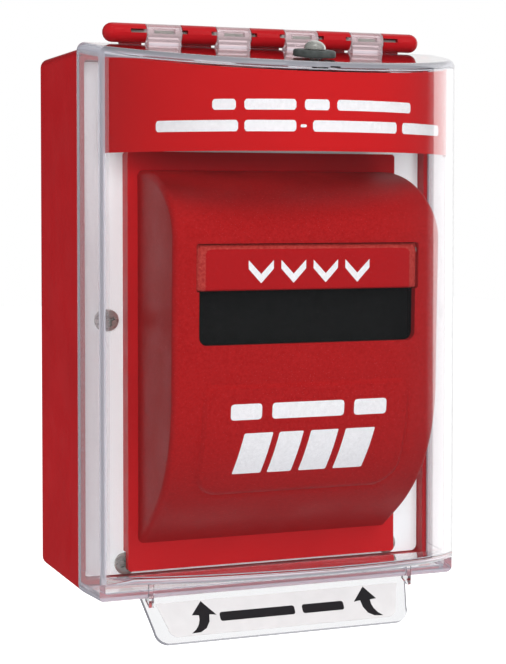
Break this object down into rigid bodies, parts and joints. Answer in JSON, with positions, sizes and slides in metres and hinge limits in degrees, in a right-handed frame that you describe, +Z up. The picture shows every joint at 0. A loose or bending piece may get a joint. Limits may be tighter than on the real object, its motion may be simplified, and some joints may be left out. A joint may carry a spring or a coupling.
{
  "type": "manual call point",
  "caption": "Wall-mounted red pull station under a clear lift-up cover hinged along its top edge, with a finger-pull handle.",
  "frame": {"origin": "centre of the back box's rear face, on the wall plane", "axes": "+Y into the wall, +Z up along the cover's height, +X to the right as seen from the front"},
  "size_m": [0.143, 0.1167, 0.2204],
  "materials": {
    "battery_case": "dark sleeve",
    "black_plastic": "matt black",
    "brass": "bright brass",
    "clear_plastic": "clear polycarbonate, polished",
    "green_board": "circuit board",
    "grey_rubber": "dark grey, matt",
    "label_red": "printed red film with plain white bars",
    "label_white": "printed white film with plain black bars and arrows",
    "magnet_metal": "nickel-plated magnet",
    "red_plastic": "moulded red plastic, satin gloss",
    "reed_glass": "small glass envelope",
    "steel": "bright nickel-plated steel",
    "textured_red": "red plastic with a fine spark texture",
    "white_plastic": "smooth white plastic",
    "zinc_steel": "zinc-plated sheet"
  },
  "bodies": {
    "wall_unit": {"back_box": "red_plastic", "hinge_frame": "red_plastic", "station_base": "red_plastic", "station_housing": "textured_red", "mounting_plate": "white_plastic", "hinge_pin": "steel", "handle_pin": "steel", "switch_bracket": "zinc_steel", "battery": "battery_case", "reed_switch": "reed_glass", "cable_grommet": "grey_rubber", "finger_recess": "black_plastic", "switch_body": "black_plastic", "terminal_block": "black_plastic", "sounder_case": "black_plastic", "sounder_grille": "black_plastic", "circuit_board": "green_board", "piezo_disc": "brass", "plate_screw_1": "steel", "plate_screw_2": "steel", "plate_screw_3": "steel", "plate_screw_4": "steel", "plate_screw_5": "steel", "plate_screw_6": "steel", "wall_screw_1": "steel", "wall_screw_2": "steel", "wall_screw_3": "steel", "wall_screw_4": "steel", "station_screw_1": "steel", "station_screw_2": "steel", "station_screw_3": "steel", "station_screw_4": "steel", "bracket_screw_1": "steel", "bracket_screw_2": "steel", "terminal_screw_1": "brass", "terminal_screw_2": "brass", "terminal_screw_3": "brass", "terminal_screw_4": "brass"},
    "cover": {"cover_shell": "clear_plastic", "cover_label": "label_red", "tab_label": "label_white", "rivet_washer": "grey_rubber", "cover_rivet": "steel", "magnet_arm": "black_plastic", "magnet": "magnet_metal"},
    "handle": {"pull_handle": "textured_red"},
    "lever": {"switch_lever": "steel"}
  },
  "joints": [
    {"name": "cover_hinge", "type": "hinge", "parent": "wall_unit", "child": "cover", "pos_m": [0, -0.053, 0.1031], "axis": [-1, 0, 0], "range_deg": [0, 120]},
    {"name": "handle_pivot", "type": "hinge", "parent": "wall_unit", "child": "handle", "pos_m": [0, -0.092, 0.0256], "axis": [-1, 0, 0], "range_deg": [0, 25]},
    {"name": "lever_pivot", "type": "hinge", "parent": "wall_unit", "child": "lever", "pos_m": [0, -0.062, 0.0145], "axis": [1, 0, 0], "range_deg": [0, 25]}
  ],
  "couplings": [
    {"joint": "lever_pivot", "follows": "handle_pivot", "ratio": 1}
  ]
}
